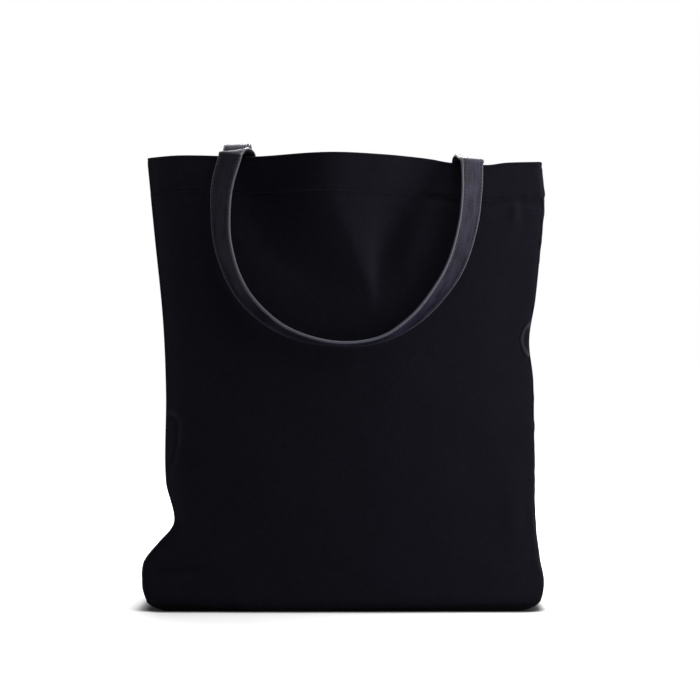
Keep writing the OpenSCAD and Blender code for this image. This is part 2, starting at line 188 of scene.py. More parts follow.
# Place, what it is aimed at, and its two sides, of the light from the right and the front
from_the_right = ((0.48, -0.27, 0.40), (0.12, 0, 0.25), (0.4, 0.6))
area_light("key", *from_the_right, power=1.6)
wall_key = area_light("wall_key", *from_the_right, power=2.5)
area_light("top", (0.25, -0.12, 1.6), (0, 0, 0.2), (1.0, 1.0), power=16)
area_light("back_fill", (-0.8, 1.1, 0.8), (0, 0, 0.25), (0.9, 0.9), power=9)
area_light("backdrop_glow", (0.1, 0.7, 1.1), (0, 0, 0.42), (0.6, 0.3), power=16)

# ---------------------------------------------------------------- curves and noise


def smooth(q):
    s = np.clip(q, 0, 1)
    return s * s * (3 - 2 * s)


def mix(a, b, q):
    return a + (b - a) * q


def arrays(a, b):
    return np.broadcast_arrays(np.asarray(a, float), np.asarray(b, float))


def curve(stations, s):
    """Smooth curve through [place, value] stations, each a number or an array like s."""
    s = np.asarray(s, float)
    p = np.stack([np.broadcast_to(a, s.shape) for a, _ in stations]).astype(float)
    v = np.stack([np.broadcast_to(b, s.shape) for _, b in stations]).astype(float)
    n = len(stations)
    slope = np.empty_like(v)
    for i in range(n):
        a, b = max(0, i - 1), min(n - 1, i + 1)
        slope[i] = (v[b] - v[a]) / (p[b] - p[a])
    k = np.clip((s[None] >= p[1:-1]).sum(0), 0, n - 2)[None]

    def at(table, step=0):
        return np.take_along_axis(table, k + step, 0)[0]

    w = at(p, 1) - at(p)
    q = np.clip((s - at(p)) / w, 0, 1)
    a, b, ma, mb = at(v), at(v, 1), at(slope) * w, at(slope, 1) * w
    return a + q * (ma + q * (3 * (b - a) - 2 * ma - mb + q * (2 * (a - b) + ma + mb)))


def noise(x, y, seed):
    """Smooth noise from -1 to 1, one lattice cell per unit."""
    x, y = arrays(x, y)
    i, j = np.floor(x), np.floor(y)
    fx, fy = smooth(x - i), smooth(y - j)

    def corner(a, b):
        h = np.sin(a * 127.1 + b * 311.7 + seed * 74.7) * 43758.5453
        return 2 * (h - np.floor(h)) - 1

    low = mix(corner(i, j), corner(i + 1, j), fx)
    high = mix(corner(i, j + 1), corner(i + 1, j + 1), fx)
    return mix(low, high, fy)


def hump(d, width):
    """A smooth hump of height 1 and half width `width`."""
    return np.exp(-((np.asarray(d) / width) ** 2))


def stack(x, y, z):
    return np.stack(np.broadcast_arrays(x, y, z), -1).astype(float)


def unit(a):
    return a / np.linalg.norm(a, axis=-1, keepdims=True)


def square_to(t, w):
    """Unit vectors at right angles to the unit vectors t, as near to w as they can be."""
    return unit(w - t * (w * t).sum(-1, keepdims=True))


def distances(points):
    """How far along a path each of its points is."""
    gaps = np.linalg.norm(np.diff(points, axis=0), axis=1)
    return np.concatenate([[0], np.cumsum(gaps)])


# ---------------------------------------------------------------- sizes

panel_w, panel_h, gusset_w, canvas_t, hem_d = 381, 430, 102, 1.2, 35
binding_w, binding_t = 10, 2.4
rim_bulge, belly, left_fold, right_bow = 36, 7, 34, 9
strap_w, ply_t, sewn_l = 25.4, 1.55, 32
stitch_inset = 2.6  # from a strap's edge to its stitches
stitch_pitch = 3.5
section_start = 0.4  # about what a rounded edge adds to the way round a ply's outline
stitch_margin = 2.0  # from a strap's end to its first needle hole
hole_shift = 2 * math.pi * stitch_margin / stitch_pitch
half_w, half_g, half_s = panel_w / 2, gusset_w / 2, strap_w / 2

front_rim = [
    [0, 0.5], [0.07, 3], [0.13, 3.2], [0.22, 2.2], [0.3, 1.5], [0.42, 2], [0.55, 2],
    [0.66, 1.2], [0.72, 0], [0.77, -2.8], [0.86, -6.2], [0.91, -4], [1, -3],
]
back_rim = [[0, -1], [0.25, 1], [0.5, -1], [0.8, -3], [1, -2]]
left_valley = [[0.7, 0.46], [0.755, 0.36], [0.816, 0.29], [0.925, 0.25], [1, 0.25]]
ridge = [[0.7, 0.55], [0.755, 0.525], [0.816, 0.495], [0.925, 0.44], [1, 0.455]]
right_valley = [
    [0.7, 0.58], [0.755, 0.582], [0.816, 0.6], [0.87, 0.632], [0.925, 0.685], [1, 0.755],
]
ridge_rise = [[0.64, 0], [0.7, 0.06], [0.755, 0.23], [0.816, 0.43], [0.925, 0.8], [1, 1]]
valley_foot, left_depth, right_depth, valley_run = 0.64, 0.2, 8.5, 0.08
back_bulge = 9
back_plan = [[0, 0], [0.2, 0.2], [0.5, 1], [0.8, 0.25], [1, 0]]
left_edge = [
    [0, -6], [10, -1], [28, 3], [50, 0], [80, -24], [92, -26], [125, -18],
    [210, -18], [280, -15], [360, -7], [430, 0],
]
right_edge = [
    [0, -9], [12, 0], [28, 3], [50, -1], [90, -5], [220, -6],
    [260, -10], [300, -4], [350, 1], [390, 4], [430, 1],
]
fold_rise = [[0, 0], [0.07, -0.1], [0.14, 0.1], [0.22, 0.55], [0.5, 0.8], [1, 1]]
bow_rise = [[0, 0.1], [0.1, 0.4], [0.3, 0.1], [0.6, -0.3], [0.75, 0], [1, 0.3]]
seam_rise = [[0, 8], [0.12, 6.5], [0.24, 3.5], [0.34, 1.5], [0.5, 3], [0.78, 6], [1, 8]]
seam_mean, end_roll, side_roll, foot_flare = 6, 20, 5, 12

# ---------------------------------------------------------------- the walls' surfaces


def height(u, v, rim):
    return mix(curve(seam_rise, u) + canvas_t, panel_h + seam_mean + curve(rim, u), v)


def front_fold(u, v):
    rise = rim_bulge * curve(ridge_rise, v)
    deep = smooth((v - valley_foot) / 0.15)
    a, b, c = curve(left_valley, v), curve(ridge, v), curve(right_valley, v)
    return curve(
        [
            [0, 0], [a - valley_run, 0], [a, -left_depth * deep], [b, rise],
            [mix(b, c, 0.45), 0.62 * rise], [c, -right_depth * deep], [c + valley_run, 0], [1, 0],
        ],
        u,
    )


def swell(u, v):
    return (
        belly
        * np.maximum(0, np.sin(math.pi * u)) ** 0.8
        * np.sin(math.pi * np.clip(v, 0, 1) ** 0.7)
    )


def plain_front_y(u, v):
    return mix(-half_g, 2.5 - half_g, v) - front_fold(u, v) - swell(u, v)


def front_y(u, v):
    """The front stands forward a little at its foot, where it overhangs the base."""
    return plain_front_y(u, v) - foot_flare * np.clip(1 - v, 0, 1) ** 8


def front_x(u, z):
    return mix(-half_w - curve(left_edge, z), half_w + curve(right_edge, z), u)


def front(u, v):
    u, v = arrays(u, v)
    z = height(u, v, front_rim)
    return stack(front_x(u, z), front_y(u, v), z)


def fold(v):
    return left_fold * curve(fold_rise, v)


def bow(v):
    return right_bow * curve(bow_rise, v)


def reach(depth):
    return 2 * np.sqrt(half_g * half_g - depth * depth)


def back_y(u, v):
    u, v = arrays(u, v)
    left, right = plain_front_y(0 * u, v), plain_front_y(0 * u + 1, v)
    ends = mix(left + reach(fold(v)), right + reach(bow(v)), u)
    return ends + swell(u, v) + back_bulge * curve(back_plan, u) * smooth(v)


def back_x(u, z):
    return mix(-half_w - 0.8 * curve(left_edge, z) + 3, half_w + 0.8 * curve(right_edge, z) - 3, u)


def back(u, v):
    u, v = arrays(u, v)
    z = height(u, v, back_rim)
    return stack(back_x(u, z), back_y(u, v), z)


def left_side(f, v):
    """The left gusset; f runs from the back edge (0) to the front edge (1)."""
    f, v = arrays(f, v)
    p = mix(back(0 * f, v), front(0 * f, v), f[..., None])
    p[..., 0] += fold(v) * np.maximum(0, np.sin(math.pi * f)) ** 1.2
    return p


def right_side(f, v):
    """The right gusset; f runs from the front edge (0) to the back edge (1)."""
    f, v = arrays(f, v)
    p = mix(front(0 * f + 1, v), back(0 * f + 1, v), f[..., None])
    p[..., 0] += bow(v) * np.sin(math.pi * f)
    return p


# ---------------------------------------------------------------- meshes


def grid_quads(rows, cols, first=0):
    r, c = np.meshgrid(np.arange(rows - 1), np.arange(cols - 1), indexing="ij")
    a = (first + r * cols + c).ravel()
    return np.stack([a, a + 1, a + cols + 1, a + cols], -1).tolist()


def make_mesh(name, points, faces, uv, material):
    mesh = bpy.data.meshes.new(name)
    mesh.from_pydata((np.asarray(points) * MM).tolist(), [], faces)
    mesh.materials.append(material)
    layer = mesh.uv_layers.new(name="cloth")
    loops = np.empty(len(mesh.loops), np.int32)
    mesh.loops.foreach_get("vertex_index", loops)
    layer.data.foreach_set("uv", (np.asarray(uv) * MM)[loops].astype(np.float32).ravel())
    shell = bmesh.new()
    shell.from_mesh(mesh)
    bmesh.ops.recalc_face_normals(shell, faces=shell.faces)
    shell.to_mesh(mesh)
    shell.free()
    mesh.polygons.foreach_set("use_smooth", np.ones(len(mesh.polygons), bool))
    piece = bpy.data.objects.new(name, mesh)
    bpy.context.scene.collection.objects.link(piece)
    return piece


# ---------------------------------------------------------------- materials


class Shader(Nodes):
    """One material's nodes. Noise scales are in cells per metre of cloth or leather."""

    def __init__(self, name):
        self.material = bpy.data.materials.new(name)
        self.material.use_nodes = True
        super().__init__(self.material.node_tree)
        self.uv = self.node("TexCoord").outputs["UV"]

    def axes(self):
        """The places along and across, each as a socket."""
        return self.node("SeparateXYZ", {0: self.uv}).outputs[:2]

    def scaled(self, *scale):
        return self.node("Mapping", {"Vector": self.uv, "Scale": scale}).outputs[0]

    def noise(self, scale, detail=2, roughness=0.5):
        inputs = {"Vector": self.scaled(*scale), "Scale": 1, "Detail": detail, "Roughness": roughness}
        return self.node("TexNoise", inputs).outputs[0]

    def painted(self, attribute):
        return self.node("Attribute", attribute_name=attribute).outputs["Fac"]

    def tint(self, amount, dark, light):
        a, b = (c if isinstance(c, bpy.types.NodeSocket) else (*c, 1) for c in (dark, light))
        return self.node("Mix", {"Factor": amount, "A": a, "B": b}, data_type="RGBA").outputs["Result"]

    def bump(self, relief, distance, strength, below=None):
        made = self.node("Bump", {"Height": relief, "Distance": distance, "Strength": strength})
        if below is not None:
            self.put(made, "Normal", below)
        return made.outputs[0]

    def finish(self, colour, normal, **inputs):
        bsdf = self.nodes["Principled BSDF"]
        self.put(bsdf, "Base Color", colour)
        self.put(bsdf, "Normal", normal)
        for key, value in inputs.items():
            self.put(bsdf, key.replace("_", " "), value)
        return self.material


def canvas_material(name, dark, light):
    """Plain-weave cotton: round yarns over and under each other, uneven and a little fuzzy."""
    s = Shader(name)
    yarn_pitch = 0.72
    # colour of the painted highlights where the front's folds catch the light
    painted_highlight_colour = (0.075, 0.071, 0.088)
    wobble = s.noise((60, 60, 60))
    turns = math.pi / (yarn_pitch * MM)
    across, along = (
        s.math("SINE", s.math("ADD", s.math("MULTIPLY", place, turns), wobble)) for place in s.axes()
    )
    weave = s.math("ABSOLUTE", s.math("MULTIPLY", across, along))
    slubs = s.math("ADD", s.noise((90, 1300, 1), 3), s.noise((1300, 90, 1), 3))
    soft = s.noise((14, 14, 14), 4, 0.6)
    streaks = s.math("ADD", s.noise((160, 700, 1)), s.noise((700, 160, 1)))
    mottle = s.noise((260, 260, 260), 4, 0.75)
    relief = s.plus(weave, (slubs, 0.45))
    normal = s.bump(relief, 0.00022, 0.55, s.bump(streaks, 0.0002, 0.5, s.bump(soft, 0.0009, 0.6)))
    shade = s.plus(s.math("MULTIPLY", relief, 0.3), (streaks, 0.5), (mottle, 0.7), (soft, 0.45))
    lint = s.ramp(s.noise((420, 300, 1), 1), 0.79, 0.83, 0, 0.5)
    colour = s.tint(s.math("ADD", s.ramp(shade, 0.85, 1.85, 0, 1), lint), dark, light)
    # Painted highlights where the front's folded cloth and left edge catch the light
    colour = s.tint(s.painted("painted_highlight"), colour, painted_highlight_colour)
    return s.finish(colour, normal, Roughness=0.95, Specular_IOR_Level=0.03, Sheen_Weight=0.05,
                    Sheen_Roughness=0.5, Sheen_Tint=(0.75, 0.72, 0.95, 1))


def needle_hole_shade(s):
    """1 at the needle holes of both rows of stitches along a strap, where shade is painted."""
    along, across = s.axes()
    beat = s.math("MULTIPLY", along, 2 * math.pi / (stitch_pitch * MM))
    hole = s.ramp(s.math("COSINE", s.math("SUBTRACT", beat, hole_shift)), -0.2, 0.6, 0, 1)
    rows = []
    for middle in (stitch_inset, strap_w - stitch_inset):
        off = s.math("ABSOLUTE", s.math("SUBTRACT", across, (middle + section_start) * MM))
        rows.append(s.ramp(off, 0.0004, 0.0009, 1, 0))
    return s.math("MULTIPLY", hole, s.math("ADD", *rows))


def leather_material(name, dark, light, pale, roughness, specular):
    """Smooth black leather: fine pebbled grain, faint creases, and a painted highlight, pale and uneven,
    where it bends over the rim.
    """
    s = Shader(name)
    cells = s.node("TexVoronoi", {"Vector": s.scaled(1500, 1500, 1500), "Scale": 1},
                   feature="DISTANCE_TO_EDGE")
    grain = s.ramp(cells.outputs["Distance"], 0.0, 0.22, 0, 1)
    pores = s.noise((2600, 2600, 2600))
    creases = s.noise((60, 420, 1), 3)
    soft = s.noise((34, 60, 45), 4, 0.6)
    fine = s.plus(s.math("MULTIPLY", grain, 0.6), (pores, 0.4))
    normal = s.bump(fine, 0.00007, 0.5, s.bump(creases, 0.0002, 0.5, s.bump(soft, 0.0006, 0.3)))
    brushed = s.noise((22, 1100, 1), 3, 0.6)
    worn = s.ramp(s.noise((30, 420, 1), 5, 0.7), 0.4, 0.75, 0, 1)
    tone = s.plus(s.ramp(soft, 0.35, 0.65, -0.1, 0.75), (worn, 0.35))
    for layer, high, least, most in (
        (creases, 0.7, -0.2, 0.3), (pores, 0.7, -0.15, 0.15), (brushed, 0.65, -0.22, 0.22),
    ):
        tone = s.math("ADD", tone, s.ramp(layer, 0.35, high, least, most))
    # Painted highlight where the strap bends over the rim, uneven along the wear pattern
    painted_highlight = s.math("MULTIPLY", s.painted("over_rim"), s.ramp(worn, 0, 1, 0.6, 1.0))
    # Painted shade at the needle holes
    colour = s.tint(s.math("SUBTRACT", tone, needle_hole_shade(s)), dark, light)
    colour = s.tint(painted_highlight, colour, pale)
    gloss = s.ramp(s.plus(soft, (pores, 0.5)), 0.4, 1.1, roughness - 0.06, roughness + 0.08)
    return s.finish(colour, normal, Roughness=gloss, Specular_IOR_Level=specular)


def edge_material(name, dark, light):
    """Edge paint: a thick satin coat with slight waves and scuffs."""
    s = Shader(name)
    scuffs = s.noise((900, 900, 900), 4, 0.65)
    colour = s.tint(s.ramp(scuffs, 0.3, 0.75, 0, 1), dark, light)
    normal = s.bump(s.noise((300, 300, 300)), 0.00025, 0.4)
    return s.finish(colour, normal, Roughness=0.38, Specular_IOR_Level=0.4)


def thread_material(name, dark, light, specular):
    """Bonded thread: tightly twisted, slightly shiny."""
    s = Shader(name)
    twist = s.node("TexWave", {"Vector": s.uv, "Scale": 900}, bands_direction="DIAGONAL").outputs[1]
    colour = s.tint(twist, dark, light)
    return s.finish(colour, s.bump(twist, 0.00006, 0.6), Roughness=0.5, Specular_IOR_Level=specular)


def tape_material(name, dark, light):
    """Binding tape: fine ribs across its width."""
    s = Shader(name)
    rib_pitch = 0.8
    ribs = s.math("SINE", s.math("MULTIPLY", s.axes()[1], 2 * math.pi / (rib_pitch * MM)))
    fuzz = s.noise((900, 900, 900), 3)
    colour = s.tint(s.ramp(fuzz, 0.3, 0.7, 0, 1), dark, light)
    normal = s.bump(s.math("ADD", ribs, fuzz), 0.00012, 0.6)
    return s.finish(colour, normal, Roughness=0.85, Specular_IOR_Level=0.15)


canvas = canvas_material("canvas", (0.0028, 0.0026, 0.0043), (0.0086, 0.0081, 0.0127))
# A darker copy of the canvas for the base: painted shade on the base, which faces down under the walls'
# foot
base_canvas_painted_shade = canvas_material("base_canvas_painted_shade", (0.0016, 0.0015, 0.0022), (0.0048, 0.0045, 0.0062))
leather = leather_material(
    "leather", dark=(0.0042, 0.0040, 0.0078), light=(0.0215, 0.0202, 0.0360),
    pale=(0.115, 0.110, 0.125), roughness=0.40, specular=0.08,
)
lining = leather_material(
    "leather_lining", dark=(0.0045, 0.0041, 0.0052), light=(0.0140, 0.0130, 0.0158),
    pale=(0.03, 0.028, 0.032), roughness=0.55, specular=0.07,
)
edge_paint = edge_material("edge_paint", (0.028, 0.029, 0.042), (0.055, 0.056, 0.080))
thread = thread_material("thread", (0.0036, 0.0034, 0.0048), (0.0098, 0.0092, 0.0126), 0.08)
waxed_thread = thread_material("waxed_thread", (0.014, 0.0135, 0.017), (0.045, 0.043, 0.051), 0.30)
tape = tape_material("binding_tape", (0.010, 0.010, 0.012), (0.020, 0.020, 0.023))

# ---------------------------------------------------------------- walls

curl_in, curl_run = 1.5, 7.0  # how far a sewn edge turns in, and over what distance
mesh_step = 2.6  # of the walls


def steps_across(width):
    """Shares of a width: close together at both sewn edges, about `mesh_step` apart between."""
    near = np.array([0, 0.6, 1.3, 2.2, 3.3, 4.5, 5.7, 6.9, 8.1, 9.3, 10.6, 12, 13.6, 15.6])
    inner = np.linspace(near[-1], width - near[-1], int((width - 2 * near[-1]) / mesh_step) + 1)
    return np.concatenate([near[:-1], inner, width - near[:-1][::-1]]) / width


def steps_up():
    """Shares of the height: close together at the base seam, the hem line and the rim."""
    hem_z = panel_h - hem_d
    body = np.linspace(4.8, hem_z - 5, int((hem_z - 10) / mesh_step))
    near_hem = hem_z + np.array([-3.4, -2.2, -1.4, -0.8, -0.3, 0.3, 0.8, 1.4, 2.2, 3.4])
    band = np.linspace(hem_z + 5, panel_h - 5, int((hem_d - 10) / 2))
    near_rim = panel_h - np.array([4, 3, 2.1, canvas_t])
    return np.concatenate([[0, 0.6, 1.3, 2.2, 3.3], body, near_hem, band, near_rim]) / panel_h


levels = steps_up()
hem_v = 1 - hem_d / panel_h
cap_steps = 5
calm_run = 3.0  # relief fades out this near a wall's sewn edges
inner_curl = 0.6  # how much of the curl the cloth's inner side takes
cap_uv_step = 0.6


def edge_share(d):
    """1 at a sewn edge, falling to 0 at curl_run from it."""
    return np.clip(1 - d / curl_run, 0, 1) ** 2


def sewn_relief(d_edge, along, seed):
    """Puckers that the side seams draw into the cloth, d_edge away from the seam."""
    wave = noise(along / 9.5, 0 * along, seed) + 0.5 * noise(along / 4.5, 0 * along, seed + 3)
    return 0.55 * wave * np.exp(-np.abs(d_edge - 3) / 6)


def hem_relief(d, along, seed):
    """Outward height near the hem line; d is the height above it, along the way round."""
    band = 0.45 * smooth((d + 0.6) / 1.2)
    groove = -0.8 * hump(d, 1.1)
    pucker = 0.45 * noise(along / 6.5, d / 12, seed) * hump(d, 7)
    return band + groove + pucker


def rim_relief(d, along, seed):
    """The folded rim: d is the distance below it."""
    return -0.35 * hump(d - 4.5, 1.6) + 0.18 * noise(along / 14, d / 9, seed) * hump(d, 8)


def common_relief(s, z, width, seed):
    """Relief that every wall shares; s runs across it and z up it, in mm."""
    side = np.minimum(s, width - s)
    return (
        sewn_relief(side, z, seed)
        + 0.35 * noise(s / 8.5, 0 * s, seed + 5) * np.exp(-np.abs(z - 3) / 5)
        + hem_relief(z - (panel_h - hem_d), s, seed + 7)
        + rim_relief(panel_h - z, s, seed + 9)
        + 0.55 * noise(s / 48, z / 60, seed + 11)
        + 0.25 * noise(s / 21, z / 26, seed + 13)
    )


def wall(name, surface, width, inward, relief, inset, material, painted_highlight=None):
    """One canvas wall with its hem turned in: a closed sheet, made column by column."""
    places = steps_across(width)
    u, v = np.meshgrid(places, levels, indexing="xy")
    s, z = u * width, v * panel_h
    plain = surface(u, v)
    calm = smooth(np.minimum(np.minimum(s, width - s), z) / calm_run)
    inward = np.array(inward, float)
    outer = plain - inward * (relief(s, z) * calm)[..., None]
    curl = inset(s, z)
    outer = outer + curl
    inner_offset = np.where(v >= hem_v - 0.0006, 2 * canvas_t, canvas_t)
    inner = plain + inward * inner_offset[..., None] + curl * inner_curl
    top, top_in = outer[-1], inner[-1]
    cap = []
    for k in range(1, cap_steps + 1):
        a = math.pi * k / (cap_steps + 1)
        rise = np.array([0, 0, canvas_t * math.sin(a)])
        cap.append(mix(top, top_in, (1 - math.cos(a)) / 2) + rise)
    rows = np.concatenate([outer, np.array(cap), inner[::-1]])
    k, c = rows.shape[:2]
    faces = grid_quads(k, c)
    last = (k - 1) * c
    faces += [[last + i, last + i + 1, i + 1, i] for i in range(c - 1)]
    r = len(levels)
    for col in (0, c - 1):
        faces += [[j * c + col, (j + 1) * c + col, (k - 2 - j) * c + col, (k - 1 - j) * c + col]
                  for j in range(r - 1)]
        faces.append([j * c + col for j in range(r - 1, k - r + 1)])
    outer_uv = np.stack([s, z], -1)
    cap_z = np.repeat(panel_h + np.arange(cap_steps) * cap_uv_step, c).reshape(cap_steps, c)
    cap_uv = np.stack([np.tile(s[0], (cap_steps, 1)), cap_z], -1)
    inner_uv = np.stack([s, 2 * panel_h - z], -1)[::-1]
    uv = np.concatenate([outer_uv, cap_uv, inner_uv])
    cloth = make_mesh(name, rows.reshape(-1, 3), faces, uv.reshape(-1, 2), material)
    # Painted highlights, kept per point for the canvas material
    if painted_highlight:
        worn = np.zeros(k * c, np.float32)
        worn[:r * c] = painted_highlight(s, z).ravel()
        cloth.data.attributes.new("painted_highlight", "FLOAT", "POINT").data.foreach_set("value", worn)
    return cloth


def patch(s, z, middle, radii):
    """A smooth oval patch of height 1."""
    return hump(np.hypot((s - middle[0]) / radii[0], (z - middle[1]) / radii[1]), 1)


def line_crease(s, z, start, end, width):
    """A smooth furrow of height 1 along a line that fades out at both ends."""
    run = np.array(end, float) - start
    long = np.linalg.norm(run)
    along = ((s - start[0]) * run[0] + (z - start[1]) * run[1]) / long
    off = ((z - start[1]) * run[0] - (s - start[0]) * run[1]) / long
    return hump(off, width) * smooth(along / (0.3 * long)) * smooth((long - along) / (0.3 * long))


def crescents(s, z):
    """Distances outside the two crescent creases at the front's left and right edges."""
    wander = 1.2 * noise(z / 9, 0 * z, 35)
    left = (np.hypot((s + 3) / 19, (z - 151 - 0.6 * s) / 31) - 1) * 19 + wander
    right = (np.hypot((panel_w - s) / 8.8, (z - 256) / 16) ** 1.3 - 1) * 7.5 + 0.4 * wander
    return left, right


def front_painted_highlights(s, z):
    """Painted highlights where the folded cloth catches the light: the crescents' lips, and a little at
    the left edge.
    """
    left, right = crescents(s, z)
    fade = 0.5 + 0.5 * noise(z / 7, s / 7, 36)
    # A painted highlight along the left edge, where the curled cloth catches light from the left
    edge = 0.16 * np.exp(-s / 7) * smooth((z - 60) / 40)
    left_lip = 0.16 * fade * hump(left, 1.4) * smooth((z - 130) / 25)
    return np.clip(left_lip + 0.6 * (0.6 + 0.4 * fade) * hump(right, 0.9) + edge, 0, 1)


def front_relief(s, z):
    """The front's own creases: below the hem, two crescents, dents at the right, low furrows."""
    below = z - (panel_h - hem_d) + 4
    left_crescent, right_crescent = crescents(s, z)
    return (
        common_relief(s, z, panel_w, 1)
        - mix(0.2, 1.6, s / panel_w) * hump(below, 3.2)
        + 0.45 * noise(s / 11, z / 16, 33) * hump(below + 3, 9)
        + 0.8 * hump(left_crescent, 2.0) - 0.4 * hump(left_crescent + 4.5, 3)
        + 1.1 * hump(right_crescent, 1.5) - 0.6 * hump(right_crescent - 3, 2)
        + 1.6 * patch(s, z, (352, 383), (4.5, 11)) - 1.0 * patch(s, z, (359, 378), (4, 12))
        + 1.6 * patch(s, z, (357, 85), (10, 24))
        - 1.5 * line_crease(s, z, (3, 25), (62, 30), 3.4)
        - 0.5 * line_crease(s, z, (170, 39), (222, 22), 2.4)
    )


back_relief = partial(common_relief, width=panel_w, seed=21)
left_relief = partial(common_relief, width=gusset_w, seed=41)
right_relief = partial(common_relief, width=gusset_w, seed=61)


def panel_inset(width, inward_y):
    """How the sewn edges of the front or back turn in at the side and base seams."""
    def inset(s, z):
        side = edge_share(s) - edge_share(width - s)
        ends = edge_share(np.minimum(s, width - s))
        return stack(curl_in * side, inward_y * curl_in * np.maximum(ends, edge_share(z)), 0 * s)
    return inset


def gusset_inset(width, inward_x, first_y):
    """How a gusset's sewn edges turn in; first_y is the inward way at its first edge."""
    def inset(s, z):
        ends = edge_share(np.minimum(s, width - s))
        side = first_y * (edge_share(s) - edge_share(width - s))
        return stack(inward_x * curl_in * np.maximum(ends, edge_share(z)), curl_in * side, 0 * s)
    return inset


front_cloth = wall("front_cloth", front, panel_w, (0, 1, 0), front_relief,
                   panel_inset(panel_w, 1), canvas, front_painted_highlights)
back_cloth = wall("back_cloth", back, panel_w, (0, -1, 0), back_relief, panel_inset(panel_w, -1), canvas)
left_cloth = wall("left_gusset_cloth", left_side, gusset_w, (1, 0, 0), left_relief,
                  gusset_inset(gusset_w, 1, -1), canvas)
right_cloth = wall("right_gusset_cloth", right_side, gusset_w, (-1, 0, 0), right_relief,
                   gusset_inset(gusset_w, -1, 1), canvas)

for cloth, nodes, width in (
    (front_cloth, ("front_panel", "front_hem_facing"), panel_w),
    (back_cloth, ("back_panel", "back_hem_facing"), panel_w),
    (left_cloth, ("left_gusset", "left_hem_facing"), gusset_w),
    (right_cloth, ("right_gusset", "right_hem_facing"), gusset_w),
):
    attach(cloth, "root")
    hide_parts(*nodes)


# ---------------------------------------------------------------- base


def make_base():
    """The base lies on the floor and rolls up to the walls' foot at all four seams."""
    u = steps_across(panel_w)[None, :]
    w = steps_across(gusset_w)[:, None]
    u, w = np.broadcast_arrays(u, w)
    a, b = front(u, 0 * u), back(u, 0 * u)
    p = mix(a, b, w[..., None])
    d_side = np.minimum(u, 1 - u) * panel_w
    d_long = np.minimum(w, 1 - w) * gusset_w
    d = np.minimum(d_side, d_long)
    end_rise = np.clip(1 - d_side / end_roll, 0, 1) ** 1.6
    long_rise = np.clip(1 - d_long / side_roll, 0, 1) ** 0.6
    p[..., 0] += bow(0 * u) * np.sin(math.pi * w) * smooth((u - 0.5) * 2)
    p[..., 2] = (p[..., 2] - canvas_t * 0.3) * np.maximum(end_rise, long_rise)
    p[..., 0] += curl_in * (edge_share(u * panel_w) - edge_share((1 - u) * panel_w))
    p[..., 1] += curl_in * (edge_share(w * gusset_w) - edge_share((1 - w) * gusset_w))
    p[..., 2] += 0.35 * (noise(u * 9, w * 3, 81) + 1) * smooth(d / 20)
    top = p + [0, 0, canvas_t]
    rows, cols = u.shape
    n = rows * cols
    faces = grid_quads(rows, cols) + grid_quads(rows, cols, n)
    rim = ([c for c in range(cols)] + [r * cols + cols - 1 for r in range(1, rows)]
           + [n - 1 - c for c in range(1, cols)] + [(rows - r) * cols for r in range(2, rows)])
    faces += [[rim[i], rim[(i + 1) % len(rim)], rim[(i + 1) % len(rim)] + n, rim[i] + n]
              for i in range(len(rim))]
    uv = np.stack([u * panel_w, w * gusset_w], -1).reshape(-1, 2)
    points = np.concatenate([p.reshape(-1, 3), top.reshape(-1, 3)])
    # The base wears the darker copy of the canvas: painted shade
    return make_mesh("base_cloth", points, faces, np.concatenate([uv, uv]), base_canvas_painted_shade)


base_cloth = make_base()
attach(base_cloth, "root")
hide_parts("base_panel")

# ---------------------------------------------------------------- straps: paths

strap_gap, sewn_gap, settle_h = 1.4, 0.5, 30
front_loop = [
    [-115.6, 26, 31], [-117.6, 52, 40], [-115.5, 85, 47], [-104, 120, 55],
    [-84, 147, 63], [-52, 168.5, 74], [-8, 178, 83], [34, 173, 80],
    [66, 154, 68], [90, 128, 56], [108, 98, 47], [119, 61, 42], [123, 28, 38],
]
back_loop = [
    [-104, 24, 30], [-102, 56, 42], [-98, 90, 50], [-86, 122, 60],
    [-60, 150, 72], [-24, 166, 82], [12, 167, 82], [50, 155, 72],
    [84, 127, 58], [104, 92, 47], [114, 52, 38], [115, 20, 24],
]
# Where a strap crosses the rim: x of its sewn end, x where it comes over, distance from the
# rim inside, rise, tilt of its top, and turn of its face where the loop starts
Crossing = namedtuple("Crossing", "x_in x_out gap rise tilt turn")
front_crossings = [Crossing(-98, -108.5, 8, 4.4, 0.17, 28), Crossing(118, 123.5, 8, 4.9, 0.21, 33)]
back_crossings = [Crossing(-110, -106, 9, 22.3, 0.05, 20), Crossing(106, 111, 8, 8, 0, 20)]
loop_steps, bend_steps, end_steps = 260, 40, 16


def wall_y(x, z, side):
    x, z = arrays(x, z)
    u = (x + half_w) / panel_w
    v = np.minimum(1, z / (panel_h + seam_mean + curve(front_rim, u)))
    return front_y(u, v) if side > 0 else -back_y(u, v)


def clear_y(x, z, turn, side):
    """How far out a strap hangs so that its outer edge just clears the wall."""
    x = np.asarray(x, float)
    angle = np.radians(turn)
    edge_x = x + np.sign(x) * half_s * np.cos(angle)
    wall_at = np.minimum(wall_y(edge_x, z, side), wall_y(x, z, side))
    return wall_at - strap_gap - half_s * np.sin(angle) - ply_t


def crossing_points(crossing, side):
    """The two ends of a bend over the rim: inside the bag and outside, at the rim's height."""
    x = (crossing.x_in + crossing.x_out) / 2
    u = np.array((x + half_w) / panel_w)
    rim = front(u, 1.0) if side > 0 else back(u, 1.0)
    rim_y, rim_z = side * rim[1] + canvas_t, rim[2]
    clear = float(clear_y(crossing.x_out, rim_z, crossing.turn, side))
    inside = np.array([crossing.x_in, rim_y + crossing.gap, rim_z])
    return inside, np.array([crossing.x_out, min(rim_y - crossing.gap, clear), rim_z])


def sewn_w(x, z, side):
    rise = float(wall_y(x + half_s, z, side) - wall_y(x - half_s, z, side))
    return unit(np.array([2 * half_s, rise, 0]))


